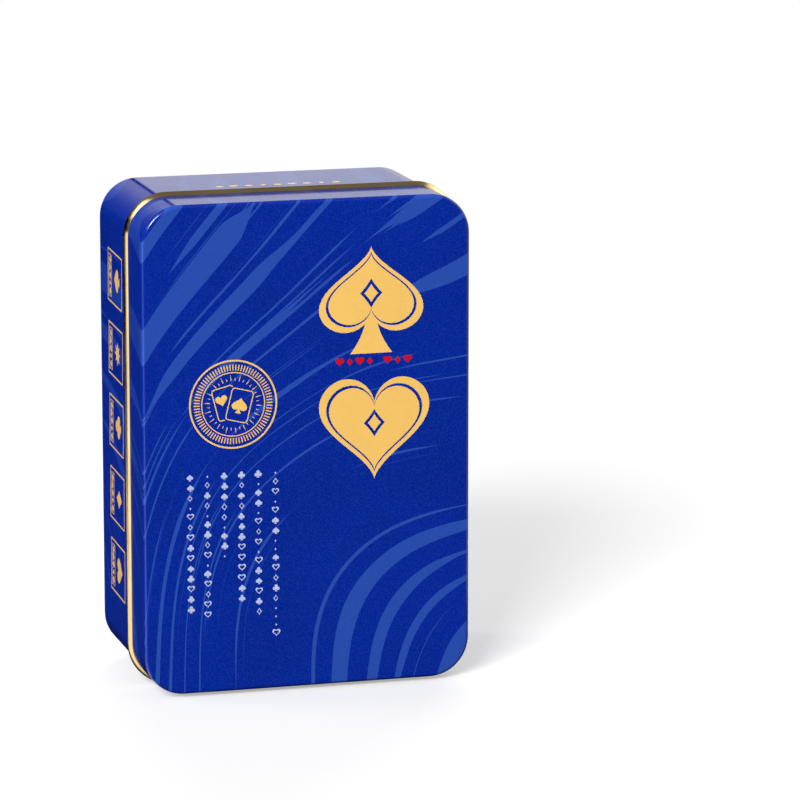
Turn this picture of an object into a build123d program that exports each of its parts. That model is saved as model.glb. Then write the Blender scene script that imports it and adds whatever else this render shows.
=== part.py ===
from build123d import *
from math import cos, radians, sin
import os

# Card game tin with a hinged lid, standing on one short end as it does on a shelf.
# X runs across the tin, Y from the lid face to the board on the back, Z up its long side.
# The origin is at the middle of the bottom of the whole part's box, pieces on the back included.
# "Depth" below always means the distance behind the lid face, and "inset" the distance in from
# the outside of the lid skirt. All sizes are in millimetres.

# --- contents, which the tin is made round ---
card_width = 58.0
card_length = 88.0
card_corner = 3.5
card_thickness = 0.31
card_air = 0.01
cards_per_deck = 54
leaflet_side_room = 1.0      # leaflet narrower than the cards, each side
leaflet_end_room = 4.0       # leaflet shorter than the cards
leaflet_paper = 0.2
leaflet_air = 0.1
leaflet_layers = 4
leaflet_gap = 0.05           # leaflet to the front deck
seat_gap = 0.3               # contents to the board and to the lower end they stand on
side_room = 2.65             # each side of the cards, inside the hem of the neck
finger_room = 6.5            # above the cards, to lift them out
lid_room = 2.29              # leaflet to the lid

# --- tin ---
corner_radius = 8.0          # corners of the lid skirt, seen from the front
tinplate = 0.25              # sheet thickness of lid, wall and board

# --- lid ---
lid_edge_radius = 0.8        # outside radius between lid face and skirt
skirt_depth = 12.6           # lid face to the middle of the rolled edge
roll_diameter = 1.1          # rolled edge of the lid, outside
roll_mouth_start = 190.0     # where the open mouth of the roll starts, degrees from straight out
roll_mouth_angle = 40.0      # how far the mouth opens, against the outside of the skirt

# --- body wall ---
wall_inset = 0.35            # wall stands this much inside the lid skirt
neck_clearance = 0.85        # room between skirt and neck that lets the lid swing
neck_height = 9.5            # neck rim above the middle of the rolled edge
neck_hem_depth = 2.0         # folded safety hem at the neck rim
hem_fold_flat = 0.025        # flat left on each side of the hem's fold
step_gap = 0.3               # rolled edge to the step that it lands on
step_depth = 0.5             # run of the sloping step
rim_radius = 0.8             # rounded rear rim
seam_width = 5.0             # lock seam down the hinge side, inside
seam_layers = 2              # extra layers of sheet in the lock seam
seam_groove_width = 0.3
seam_groove_depth = 0.1

# --- board (rear plate) ---
board_recess = 1.2           # board face behind the rear rim
board_flange = 2.5           # flange of the board along the wall
board_fit = 0.05             # flange to wall
board_edge_radius = 0.5      # bend between board and flange, outside radius

# --- hinge ---
wire_diameter = 0.5
wire_length = 60.0
strap_bore_gap = 0.05        # wire to strap, on the radius
strap_sheet = 0.2
strap_width = 8.0
strap_spacing = 44.0         # middle to middle
strap_flange = 1.8           # clinched ends inside the neck, each way
strap_slot_gap = 0.05        # strap to its slot in the neck
strap_side_gap = 0.3         # strap to the ends of its notch in the lid
notch_gap = 0.25             # strap to the edge of its notch in the skirt
clinch_gap = 0.02            # clinched ends to the neck

# --- board grid and pawns ---
grid_columns = 3
grid_rows = 5
grid_side_margin = 7.25      # lid skirt to the grid's outermost cells, half a gap included
grid_end_margin = 6.125
pawn_height = 17.0
pawn_foot_radius = 4.9
pawn_base_radius = 5.5
pawn_base_height = 2.0
pawn_collar_radius = 4.7
pawn_collar_height = 6.4
pawn_dip_radius = 4.5
pawn_dip_height = 4.3
pawn_waist_radius = 2.6
pawn_waist_height = 10.0
pawn_head_radius = 3.4
pocket_radius = 3.05
magnet_radius = 3.0
magnet_thickness = 2.0
magnet_recess = 0.1          # magnet face above the board
magnet_top_gap = 0.1

# --- places worked out from the sizes above ---
roll_radius = roll_diameter / 2
roll_bore = roll_radius - tinplate
roll_offset = roll_radius - tinplate          # roll axis outside the skirt
bead_height = roll_offset + roll_radius       # rolled edge proud of the skirt
neck_inset = tinplate + neck_clearance
neck_inner_inset = neck_inset + tinplate
hem_inset = neck_inset + 2 * tinplate
wall_inner_inset = wall_inset + tinplate
deck_thickness = cards_per_deck * (card_thickness + card_air)
leaflet_width = card_width - 2 * leaflet_side_room
leaflet_length = card_length - leaflet_end_room
leaflet_thickness = leaflet_layers * (leaflet_paper + leaflet_air) - leaflet_air
contents_depth = 2 * deck_thickness + leaflet_gap + leaflet_thickness
tin_width = card_width + 2 * (side_room + hem_inset)                    # across the lid skirt
tin_length = card_length + seat_gap + finger_room + 2 * hem_inset       # along the lid skirt, upright here
tin_depth = board_recess + seat_gap + contents_depth + lid_room + 2 * tinplate   # lid face to rear rim
total_depth = tin_depth - board_recess + pawn_height
front_y = -total_depth / 2                    # lid face
middle_z = bead_height + tin_length / 2
rim_depth = skirt_depth - neck_height
step_start = skirt_depth + roll_radius + step_gap
board_face_depth = tin_depth - board_recess
board_inner_depth = board_face_depth - tinplate
hinge_x = tin_width / 2 + roll_offset
hinge_y = front_y + skirt_depth
strap_places = (middle_z - strap_spacing / 2, middle_z + strap_spacing / 2)
hem_floor = bead_height + hem_inset           # lower end inside the hem, where the contents stand
rear_deck_depth = board_inner_depth - seat_gap - deck_thickness
front_deck_depth = rear_deck_depth - deck_thickness
column_pitch = (tin_width - 2 * grid_side_margin) / grid_columns
row_pitch = (tin_length - 2 * grid_end_margin) / grid_rows


def depth_plane(depth):
    """Upright plane at this depth, facing the back, centred on the tin."""
    return Plane(origin=(0, front_y + depth, middle_z), x_dir=(1, 0, 0), z_dir=(0, 1, 0))


def outline_block(inset, start_depth, end_depth):
    """Block with the tin's rounded outline, moved in by inset."""
    width = tin_width - 2 * inset
    length = tin_length - 2 * inset
    shape = RectangleRounded(width, length, corner_radius - inset)
    return extrude(depth_plane(start_depth) * shape, amount=end_depth - start_depth)


def front_edges(block, depth):
    """Edges of a block that lie at this depth."""
    return block.edges().filter_by_position(Axis.Y, front_y + depth, front_y + depth)


def section_box(near_inset, far_inset, start_depth, end_depth):
    """Rectangle of a wall section: X outwards, Y the depth."""
    centre = (-(near_inset + far_inset) / 2, (start_depth + end_depth) / 2)
    return Pos(*centre) * Rectangle(far_inset - near_inset, end_depth - start_depth)


def carry_round(section):
    """Carry a wall section round the four sides and four corners of the tin."""
    pieces = []
    for turn in range(4):
        out_x = round(cos(radians(90 * turn)))
        out_z = round(sin(radians(90 * turn)))
        reach = tin_width / 2 if out_x else tin_length / 2
        straight = (tin_length if out_x else tin_width) / 2 - corner_radius
        side = Vector(out_x, 0, out_z)
        along = Vector(-out_z, 0, out_x)
        middle = Vector(0, front_y, middle_z) + side * reach
        start = Plane(origin=middle - along * straight, x_dir=side, z_dir=along)
        end = Plane(origin=middle + along * straight, x_dir=side, z_dir=along)
        corner_axis = Axis(middle + along * straight - side * corner_radius, (0, -1, 0))
        pieces.append(extrude(start * section, amount=2 * straight))
        pieces.append(revolve(end * section, axis=corner_axis, revolution_arc=90))
    return pieces[0].fuse(*pieces[1:]).clean()


def roll_section():
    """Open roll of the lid edge, its mouth against the outside of the skirt."""
    ring = Circle(roll_radius) - Circle(roll_bore)
    reach = 2 * roll_radius
    sides = [radians(roll_mouth_start), radians(roll_mouth_start + roll_mouth_angle)]
    corners = [(reach * cos(side), reach * sin(side)) for side in sides]
    mouth = make_face(Polyline((0, 0), corners[0], corners[1], (0, 0)))
    return Pos(roll_offset, skirt_depth) * (ring - mouth)


def lid_shell():
    """Drawn lid: face, skirt and an edge rolled outwards, notched at the two straps."""
    outside = outline_block(0, 0, skirt_depth)
    outside = fillet(front_edges(outside, 0), lid_edge_radius)
    inside = outline_block(tinplate, tinplate, skirt_depth + roll_radius)
    inside = fillet(front_edges(inside, tinplate), lid_edge_radius - tinplate)
    lid = (outside - inside).fuse(carry_round(roll_section())).clean()
    notch_width = strap_width + 2 * strap_side_gap
    notch_front = roll_radius + notch_gap
    for place in strap_places:
        notch = Box(4 * roll_radius, notch_front + 2 * roll_radius, notch_width)
        lid -= Pos(hinge_x, hinge_y + roll_radius - notch_front / 2, place) * notch
    return lid


def hinge_wire():
    """Straight wire inside the rolled edge, on the hinge side."""
    wire = Cylinder(wire_diameter / 2, wire_length)
    return Pos(hinge_x, hinge_y, middle_z) * wire


def hinge_strap(place):
    """Strap bent round the wire, its two legs clinched through the neck."""
    bore = wire_diameter / 2 + strap_bore_gap
    outer = bore + strap_sheet
    neck_face = roll_offset + neck_inner_inset + clinch_gap
    ring = Circle(outer)
    leg_length = neck_face + strap_sheet
    leg = Pos(-leg_length / 2, 0) * Rectangle(leg_length, 2 * strap_sheet)
    ends_height = 2 * (strap_sheet + strap_flange)
    ends = Pos(-neck_face - strap_sheet / 2, 0) * Rectangle(strap_sheet, ends_height)
    profile = ring + leg + ends - Circle(bore)
    start = Plane(origin=(hinge_x, hinge_y, place - strap_width / 2), x_dir=(1, 0, 0))
    return extrude(start * profile, amount=strap_width)


def wall_section():
    """Section of the body wall, from the hemmed neck to the rolled-in rear rim."""
    step_end = step_start + step_depth
    rim_centre_depth = tin_depth - rim_radius
    neck = section_box(neck_inset, neck_inner_inset, rim_depth, step_start)
    hem = section_box(neck_inset, hem_inset, rim_depth, rim_depth + neck_hem_depth)
    hem_front = hem.vertices().sort_by(Axis.Y)[:2]
    hem = fillet(hem_front, tinplate - hem_fold_flat)
    step = make_face(Polyline(
        (-neck_inset, step_start),
        (-wall_inset, step_end),
        (-wall_inner_inset, step_end + tinplate),
        (-neck_inner_inset, step_start + tinplate),
        (-neck_inner_inset, step_start),
        (-neck_inset, step_start),
    ))
    wall = section_box(wall_inset, wall_inner_inset, step_end, rim_centre_depth)
    rim = Circle(rim_radius) - Circle(rim_radius - tinplate)
    rim -= Pos(0, -rim_radius) * Rectangle(4 * rim_radius, 2 * rim_radius)
    rim = Pos(-wall_inset - rim_radius, rim_centre_depth) * rim
    leg_inset = wall_inset + 2 * rim_radius - tinplate
    leg = section_box(leg_inset, leg_inset + tinplate, board_face_depth, rim_centre_depth)
    return neck + hem + step + wall + rim + leg


def body_wall():
    """Wrapped wall with its neck, a lock seam on the hinge side and the strap slots."""
    wall = carry_round(wall_section())
    seam_start = step_start + step_depth + tinplate
    seam_end = board_inner_depth - board_flange - board_fit
    seam_inset = wall_inner_inset + seam_layers * tinplate
    seam_size = (seam_inset - wall_inset - tinplate / 2, seam_end - seam_start, seam_width)
    seam_x = tin_width / 2 - seam_inset + seam_size[0] / 2
    seam_y = front_y + (seam_start + seam_end) / 2
    wall = wall.fuse(Pos(seam_x, seam_y, middle_z) * Box(*seam_size))
    groove_size = (2 * seam_groove_depth, board_face_depth - seam_start, seam_groove_width)
    groove_y = front_y + (board_face_depth + seam_start - rim_radius) / 2
    wall -= Pos(tin_width / 2 - wall_inset, groove_y, middle_z + seam_width / 2) * Box(*groove_size)
    slot_height = 2 * (strap_sheet + strap_slot_gap)
    slot_width = strap_width + 2 * strap_slot_gap
    for place in strap_places:
        slot = Box(4 * tinplate, slot_height, slot_width)
        wall -= Pos(tin_width / 2 - neck_inset - tinplate / 2, hinge_y, place) * slot
    return wall


def board_plate():
    """Rear plate that serves as the score board, its flange turned in along the wall."""
    inset = wall_inner_inset + board_fit
    pan = outline_block(inset, board_face_depth - board_flange, board_face_depth)
    pan = fillet(front_edges(pan, board_face_depth), board_edge_radius)
    hollow_inset = inset + tinplate
    hollow = outline_block(hollow_inset, board_face_depth - 2 * board_flange, board_inner_depth)
    hollow = fillet(front_edges(hollow, board_inner_depth), board_edge_radius - tinplate)
    return pan - hollow


def seat_height(width, own_corner):
    """Lowest height at which a piece clears the lower end of the tin and its round corners."""
    tin_corner = corner_radius - hem_inset
    reach = width / 2 - own_corner - (tin_width / 2 - corner_radius)
    if reach <= 0:
        return hem_floor + seat_gap
    free = tin_corner - seat_gap - own_corner
    drop = (free ** 2 - reach ** 2) ** 0.5
    return hem_floor + max(seat_gap, tin_corner - own_corner - drop)


def deck(start_depth):
    """One deck, every card its own solid, standing on the lower end of the tin."""
    floor = seat_height(card_width, card_corner)
    card = extrude(
        Plane(origin=(0, 0, floor + card_length / 2), x_dir=(1, 0, 0), z_dir=(0, 1, 0))
        * RectangleRounded(card_width, card_length, card_corner),
        amount=card_thickness,
    )
    pitch = card_thickness + card_air
    first_y = front_y + start_depth + card_air / 2
    cards = [Pos(0, first_y + pitch * index, 0) * card for index in range(cards_per_deck)]
    return Compound(children=cards)


def rules_leaflet():
    """Folded sheet of rules in front of the cards, four layers joined at alternate edges."""
    pitch = leaflet_paper + leaflet_air
    back_y = front_y + front_deck_depth - leaflet_gap
    fold = None
    for layer in range(leaflet_layers):
        layer_y = back_y - leaflet_paper / 2 - layer * pitch
        shape = Pos(0, layer_y) * Rectangle(leaflet_width, leaflet_paper)
        fold = shape if fold is None else fold + shape
        if layer < leaflet_layers - 1:
            side = 1 if layer % 2 == 0 else -1
            edge_x = side * (leaflet_width - leaflet_paper) / 2
            fold += Pos(edge_x, layer_y - pitch / 2) * Rectangle(leaflet_paper, pitch)
    start = Plane(origin=(0, 0, seat_height(leaflet_width, 0)), x_dir=(1, 0, 0))
    return extrude(start * fold, amount=leaflet_length)


def pawn_profile():
    """Half outline of a pawn, radius along X and height along Y, with its magnet pocket."""
    pocket_top = magnet_recess + magnet_thickness + magnet_top_gap
    head_centre = pawn_height - pawn_head_radius
    neck_drop = (pawn_head_radius ** 2 - pawn_waist_radius ** 2) ** 0.5
    head_start = (pawn_waist_radius, head_centre - neck_drop)
    widest = (pawn_base_radius, pawn_base_height)
    dip = (pawn_dip_radius, pawn_dip_height)
    collar = (pawn_collar_radius, pawn_collar_height)
    waist = (pawn_waist_radius, pawn_waist_height)
    foot = Line((pocket_radius, 0), (pawn_foot_radius, 0))
    base_lower = TangentArc(widest, foot @ 1, tangent=(0, -1))
    base_upper = TangentArc(widest, dip, tangent=(0, 1))
    collar_lower = TangentArc(collar, dip, tangent=(0, -1))
    collar_upper = TangentArc(collar, waist, tangent=(0, 1))
    neck = Line(waist, head_start)
    head = ThreePointArc(
        neck @ 1,
        (pawn_head_radius, head_centre),
        (0, pawn_height),
    )
    core = Polyline(
        head @ 1,
        (0, pocket_top),
        (pocket_radius, pocket_top),
        (pocket_radius, 0),
    )
    outline = [foot, base_lower, base_upper, collar_lower, collar_upper, neck, head, core]
    return make_face(outline)


def pawn_seat(column, row):
    """Plane on the board at a grid place, facing the back; column and row count from the middle."""
    spot = (column * column_pitch, front_y + board_face_depth, middle_z + row * row_pitch)
    return Plane(origin=spot, x_dir=(1, 0, 0), z_dir=(0, 1, 0))


def pawn_body(seat):
    """Moulded pawn, standing out from the board."""
    upright = Plane(origin=(0, 0, 0), x_dir=(1, 0, 0), z_dir=(0, -1, 0))
    body = revolve(upright * pawn_profile(), axis=Axis.Z)
    return seat * body


def pawn_magnet(seat):
    """Disc magnet in the foot of a pawn."""
    disc = Cylinder(magnet_radius, magnet_thickness)
    return seat * (Pos(0, 0, magnet_recess + magnet_thickness / 2) * disc)


def write_part(name, shape):
    """Write one piece of the tin."""
    export_step(shape, f"parts/{name}.step")


red_seat = pawn_seat(1, -1)
blue_seat = pawn_seat(-1, 2)

os.makedirs("parts", exist_ok=True)
write_part("lid_shell", lid_shell())
write_part("hinge_wire", hinge_wire())
write_part("hinge_strap_lower", hinge_strap(strap_places[0]))
write_part("hinge_strap_upper", hinge_strap(strap_places[1]))
write_part("body_wall", body_wall())
write_part("board_plate", board_plate())
write_part("deck_rear", deck(rear_deck_depth))
write_part("deck_front", deck(front_deck_depth))
write_part("rules_leaflet", rules_leaflet())
write_part("red_pawn_body", pawn_body(red_seat))
write_part("red_pawn_magnet", pawn_magnet(red_seat))
write_part("blue_pawn_body", pawn_body(blue_seat))
write_part("blue_pawn_magnet", pawn_magnet(blue_seat))
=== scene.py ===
import math
import random

import bmesh
import bpy
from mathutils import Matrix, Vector
from mathutils.geometry import delaunay_2d_cdt


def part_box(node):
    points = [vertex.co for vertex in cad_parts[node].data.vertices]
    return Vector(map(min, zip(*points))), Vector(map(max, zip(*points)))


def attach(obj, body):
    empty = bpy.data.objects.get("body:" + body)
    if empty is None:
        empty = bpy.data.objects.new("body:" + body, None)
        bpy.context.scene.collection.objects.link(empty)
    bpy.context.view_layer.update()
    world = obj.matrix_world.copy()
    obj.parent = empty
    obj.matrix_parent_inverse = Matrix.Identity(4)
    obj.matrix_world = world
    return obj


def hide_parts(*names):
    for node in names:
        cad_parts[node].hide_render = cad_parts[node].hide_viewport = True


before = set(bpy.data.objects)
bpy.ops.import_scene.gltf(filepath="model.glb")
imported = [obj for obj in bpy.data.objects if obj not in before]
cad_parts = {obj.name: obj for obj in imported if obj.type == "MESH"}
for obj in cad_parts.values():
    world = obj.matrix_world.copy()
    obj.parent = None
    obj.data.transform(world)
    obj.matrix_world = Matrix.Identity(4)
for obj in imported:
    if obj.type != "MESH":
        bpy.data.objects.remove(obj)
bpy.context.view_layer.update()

random.seed(7)

# Lengths are in millimetres and become metres where a mesh is made.
# "Depth" is the distance behind the lid face, "inset" the distance in from the lid skirt.
MM = 0.001

# --- sizes shared with the construction ---
corner_radius = 8.0
sheet = 0.25
lid_edge_radius = 0.8
roll_radius = 0.55
roll_mouth = (0.02, 0.86)    # end of the rolled edge: gap to the skirt, depth in front of the hinge axis
roll_flank = (4.2, 38.0, 52.0)    # its front flank: radius, and the way it faces in degrees from the front
roll_knee = 0.25             # radius of its outermost edge
roll_bore = 0.30             # radius of the hollow for the wire
roll_thickness = 0.17        # of the flank, measured along the skirt
wall_inset = 0.35
neck_inset = 1.1
hem_depth = 2.0
step_gap = 0.3
step_depth = 0.5
rim_radius = 0.8
board_inset = 0.65
board_recess = 1.2
board_flange = 2.5
board_edge_radius = 0.5
board_margins = (7.25, 6.125)     # from the tin's sides and ends to the grid
grid_columns, grid_rows = 3, 5
strap_width = 8.0
strap_side_gap = 0.3
strap_slot = (0.5, 8.1)      # height and length of a strap's slot in the neck
notch_gap = 0.25
seam_width = 5.0
groove_width, groove_depth = 0.3, 0.1     # line that the seam leaves on the outside
cards_per_deck = 54
card_corner = 3.5
card_thickness = 0.31
card_slack = 0.12            # how far a card may lie out of line
paper_thickness, paper_air = 0.2, 0.1
leaflet_layers = 4

# --- looks only ---
ink_height = 0.02            # height of a printed layer; the lid's face lies this much deeper
flat_margin = 3.0            # inset where the swept edge hands over to the flat middle
neck_run = 2.0               # straight end of the neck before the step
step_rounding = 0.22
recess_fillet = 0.9          # soft bend between the rim and the board
hairline = 0.02              # keeps two lines of the board's section apart
knee_inset = 0.08            # how far the rolled edge's hollow keeps off its knee


def node_box(name):
    """Lowest and highest corner of a node in millimetres."""
    low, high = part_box(name)
    return low / MM, high / MM


# --- places read from the frame ---
lid_low, lid_high = node_box("lid_shell")
wall_low, wall_high = node_box("body_wall")
tin_width = wall_high.x - wall_low.x + 2 * wall_inset
tin_length = wall_high.z - wall_low.z + 2 * wall_inset
tin_depth = wall_high.y - lid_low.y
front_y = lid_low.y
middle_z = (lid_low.z + lid_high.z) / 2
rim_depth = wall_low.y - front_y
skirt_depth = lid_high.y - front_y - roll_radius
hinge_x = lid_high.x - roll_radius
hinge_y = front_y + skirt_depth
step_start = skirt_depth + roll_radius + step_gap
board_face_depth = tin_depth - board_recess
strap_nodes = ("hinge_strap_lower", "hinge_strap_upper")
strap_places = [sum(node_box(name)[side].z for side in (0, 1)) / 2 for name in strap_nodes]

# --- blue print ---
# Families of ribbons: pitch, shift as a share of it, greatest half width as a share of it,
# share of the ribbons that is left out, and size of the swells along them.
ribbon_families = (
    (11.0, 0.0, 0.25, 0.10, 40.0),
    (5.5, 0.37, 0.19, 0.28, 30.0),
    (2.0, 0.2, 0.22, 0.50, 22.0),
)
ribbon_edge = 0.07           # half width of a ribbon's soft edge
ribbon_fading = 0.5          # how far they fade into the ground colour on the sides
ribbon_swell = (0.36, 0.60)  # noise level at which a ribbon starts, and at which it is widest
ribbon_across = (0.70, 0.30, -0.64)
ribbon_bend = (88.0, 150.0)  # size and strength of the bends
ribbon_stretch = (1.0, 0.6, 0.8)
ribbon_field = (-310.0, 10.0, 90.0)      # place in the noise that bends them
swell_apart = 90.0           # how far apart in the noise the families' swells lie
grain_share = 0.11           # of the lighter blue in the print

# --- studio, as brightness levels; reflections alone see the panels and the bright floor ---
# Panels: brightness, then where each starts, is full, is full for the last time and ends, in degrees
# round the tin (0 is straight behind it, positive to the right) and in height.
panels = (
    (0.80, (10.2, 11.4, 95.0, 120.0), (-1.0, 1.0, 26.0, 36.0)),            # behind, to the right
    (0.45, (-18.0, 4.0, 7.6, 8.6), (-1.0, 1.0, 26.0, 36.0)),               # straight behind
    (1.35, (58.0, 72.0, 112.0, 122.0), (2.0, 8.0, 48.0, 58.0)),            # tall, to the right
    (1.35, (-150.0, -142.0, -112.0, -104.0), (20.0, 26.0, 62.0, 70.0)),    # tall, to the left in front
    (2.60, (74.0, 80.0, 102.0, 108.0), (22.0, 26.0, 40.0, 44.0)),          # strip in the tall right one
    (2.60, (-140.0, -136.0, -112.0, -108.0), (26.0, 30.0, 58.0, 62.0)),    # strip in the tall left one
)
# Stretches of bright floor: share, then the same four edges, where 0 is in front of the lid face.
floor_stretches = (
    (1.0, (-79.5, -76.0, -52.0, -46.0)),
    (0.5, (36.0, 44.0, 165.0, 168.0)),
)
floor_glow = 1.4
floor_lift = 0.40            # keeps the shadow on the floor light
upper_sky = 0.17
studio_fill = (0.05, 0.25)   # light from all sides, low down and high up
# Lamps: name, azimuth, elevation, distance, side, watts, and whether they are seen in reflections.
lamps = (
    ("key", -34, 29, 2600, 920, 87.0, True),
    ("side", -112, 10, 1200, 500, 7.0, False),
    ("rear", 160, 16, 1500, 1100, 24.0, False),
)

# --- camera, solved from the photograph (pixels of its 800 x 800 frame) ---
focal_pixels = 4794.3
frame_pixels = 800.0
sensor_width = 36.0
camera_azimuth = -15.73
camera_elevation = 11.47
camera_distance = 964.7
camera_right = 23.63
camera_up = 5.1
camera_aim = 0.15            # how far behind the middle of the tin it aims


# --- mesh helpers ---

def encloses_inside_out(mesh):
    """Whether a closed mesh has its faces turned inwards."""
    work = bmesh.new()
    work.from_mesh(mesh)
    volume = work.calc_volume(signed=True)
    work.free()
    return volume < 0


def make_mesh(name, points, faces, materials, slots=None, sharp=35.0):
    """Mesh object from points in millimetres: smooth, with edges above an angle kept sharp."""
    mesh = bpy.data.meshes.new(name)
    mesh.from_pydata([Vector(point) * MM for point in points], [], faces)
    if encloses_inside_out(mesh):
        mesh.flip_normals()
    for material in materials:
        mesh.materials.append(material)
    if slots:
        mesh.polygons.foreach_set("material_index", slots)
    mesh.polygons.foreach_set("use_smooth", [True] * len(faces))
    mesh.update()
    mesh.set_sharp_from_angle(angle=math.radians(sharp))
    piece = bpy.data.objects.new(name, mesh)
    bpy.context.scene.collection.objects.link(piece)
    return piece


def settle(piece, body, slot, *nodes):
    """Piece rides on a body and stands for nodes, which are hidden; the slot is not used."""
    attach(piece, body)
    if nodes:
        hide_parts(*nodes)
    return piece


def apply_modifiers(piece):
    """Turn a piece's modifiers into mesh."""
    graph = bpy.context.evaluated_depsgraph_get()
    mesh = bpy.data.meshes.new_from_object(piece.evaluated_get(graph))
    piece.modifiers.clear()
    piece.data = mesh


def weigh_normals(piece):
    """Large flat faces keep their own normal beside round ones."""
    weights = piece.modifiers.new("weights", "WEIGHTED_NORMAL")
    weights.keep_sharp = True
    weights.weight = 100
    apply_modifiers(piece)


def box_faces(start):
    """Six faces of a box whose corners run x, then y, then z, from index start."""
    quads = ((0, 1, 3, 2), (4, 6, 7, 5), (0, 4, 5, 1), (2, 3, 7, 6), (0, 2, 6, 4), (1, 5, 7, 3))
    return [[start + index for index in quad] for quad in quads]


def tube_faces(count):
    """Side faces of a tube between two loops of this many points."""
    return [(index, (index + 1) % count, (index + 1) % count + count, index + count)
            for index in range(count)]


def cut_boxes(piece, boxes):
    """Cut boxes, each a middle and a size, out of a piece."""
    points, faces = [], []
    for middle, size in boxes:
        faces += box_faces(len(points))
        points += [[middle[axis] + side[axis] * size[axis] / 2 for axis in range(3)]
                   for side in [(x, y, z) for x in (-1, 1) for y in (-1, 1) for z in (-1, 1)]]
    cutter = make_mesh("cutter", points, faces, list(piece.data.materials))
    cut = piece.modifiers.new("cut", "BOOLEAN")
    cut.object = cutter
    cut.solver = "EXACT"
    apply_modifiers(piece)
    bpy.data.objects.remove(cutter)


def arc(centre, radius, start, end, steps):
    """Points of an arc, angles in degrees."""
    angles = [math.radians(start + (end - start) * step / steps) for step in range(steps + 1)]
    return [(centre[0] + radius * math.cos(a), centre[1] + radius * math.sin(a)) for a in angles]


def oval(centre, half_sizes, start, end, steps):
    """Points of an ellipse's arc, angles in degrees."""
    return [(centre[0] + half_sizes[0] * x, centre[1] + half_sizes[1] * y)
            for x, y in arc((0, 0), 1.0, start, end, steps)]


def rounded_path(points, steps=6):
    """Path whose corners, given as (x, y, radius), are rounded."""
    path = []
    for index, (x, y, radius) in enumerate(points):
        corner = Vector((x, y))
        if not radius or index in (0, len(points) - 1):
            path.append((x, y))
            continue
        into = (Vector(points[index - 1][:2]) - corner).normalized()
        away = (Vector(points[index + 1][:2]) - corner).normalized()
        reach = radius / math.tan(into.angle(away) / 2)
        start, end = corner + into * reach, corner + away * reach
        centre = corner + (into + away).normalized() * math.hypot(reach, radius)
        first, last = start - centre, end - centre
        turn = first.angle_signed(last)
        begin = math.degrees(math.atan2(first.y, first.x))
        path += arc(centre, radius, begin, begin - math.degrees(turn), steps)
    return path


def outline_stations(corner_steps=16, side_steps=8):
    """Stations round the tin: place on the skirt's outside and the way out of it, in X and Z."""
    stations = []
    for turn in range(4):
        angle = math.pi / 2 * turn
        out = Vector((round(math.cos(angle)), round(math.sin(angle))))
        along = Vector((-out.y, out.x))
        reach, run = (tin_width, tin_length) if turn % 2 == 0 else (tin_length, tin_width)
        straight = run / 2 - corner_radius
        for step in range(side_steps):
            stations.append((out * reach / 2 + along * straight * (2 * step / side_steps - 1), out))
        centre = out * (reach / 2 - corner_radius) + along * straight
        for step in range(corner_steps):
            bend = angle + math.pi / 2 * step / corner_steps
            way = Vector((math.cos(bend), math.sin(bend)))
            stations.append((centre + way * corner_radius, way))
    return stations


def sweep_round(name, parts, materials, capped):
    """Sweep a section of (path, material slot) parts round the tin's outline.

    The section is closed back to its start, unless capped: then its first and last ring are filled.
    """
    section = [point for path, _ in parts for point in path]
    own_slots = [slot for path, slot in parts for _ in path]
    count = len(section)
    points, faces, slots = [], [], []
    stations = outline_stations()
    for place, out in stations:
        for inset, depth in section:
            spot = place - out * inset
            points.append((spot.x, front_y + depth, middle_z + spot.y))
    for index in range(len(stations)):
        here = index * count
        there = (index + 1) % len(stations) * count
        for segment in range(count - 1 if capped else count):
            after = (segment + 1) % count
            faces.append((here + segment, here + after, there + after, there + segment))
            slots.append(own_slots[segment])
    if capped:
        first = [station * count for station in range(len(stations))]
        faces.append(first)
        faces.append([index + count - 1 for index in reversed(first)])
        slots += [own_slots[0], own_slots[-1]]
    return make_mesh(name, points, faces, materials, slots)


# --- flat shapes for print ---

def circle(centre, radius, steps=40):
    """Closed circle."""
    return arc(centre, radius, 0, 360 - 360 / steps, steps - 1)


def rounded_frame(width, height, radius, steps=8):
    """Closed rounded rectangle round the origin."""
    loop = []
    for turn, (side_x, side_y) in enumerate(((1, 1), (-1, 1), (-1, -1), (1, -1))):
        centre = (side_x * (width / 2 - radius), side_y * (height / 2 - radius))
        loop += arc(centre, radius, 90 * turn, 90 * turn + 90, steps)
    return loop


def rectangle(left, right, bottom, top):
    """Closed rectangle."""
    return [(left, bottom), (right, bottom), (right, top), (left, top)]


def stroke(path, width):
    """Line of this width along a path, as one quad for each step, its corners mitred."""
    least_mitre = 0.3
    points = [Vector(point) for point in path]
    ways = [(end - start).normalized() for start, end in zip(points, points[1:])]
    sides = []
    for point, into, away in zip(points, ways[:1] + ways, ways + ways[-1:]):
        middle = (into + away).normalized()
        across = Vector((-middle.y, middle.x))
        reach = width / 2 / max(least_mitre, across.dot(Vector((-away.y, away.x))))
        sides.append((point + across * reach, point - across * reach))
    return [[tuple(left), tuple(next_left), tuple(next_right), tuple(right)]
            for (left, right), (next_left, next_right) in zip(sides, sides[1:])]


def moved(loops, shift=(0, 0), scale=1.0, turn=0.0):
    """Loops scaled, turned by degrees and shifted."""
    c = math.cos(math.radians(turn)) * scale
    s = math.sin(math.radians(turn)) * scale
    return [[(p[0] * c - p[1] * s + shift[0], p[0] * s + p[1] * c + shift[1]) for p in loop]
            for loop in loops]


def heart(steps=64):
    """Heart, one unit high."""
    height, below = 29, 2.6      # of the curve, and how far its middle lies below 0
    loop = []
    for step in range(steps):
        t = 2 * math.pi * step / steps
        x = 16 * math.sin(t) ** 3
        y = 13 * math.cos(t) - 5 * math.cos(2 * t) - 2 * math.cos(3 * t) - math.cos(4 * t)
        loop.append((x / height, (y + below) / height))
    return [loop]


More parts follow.
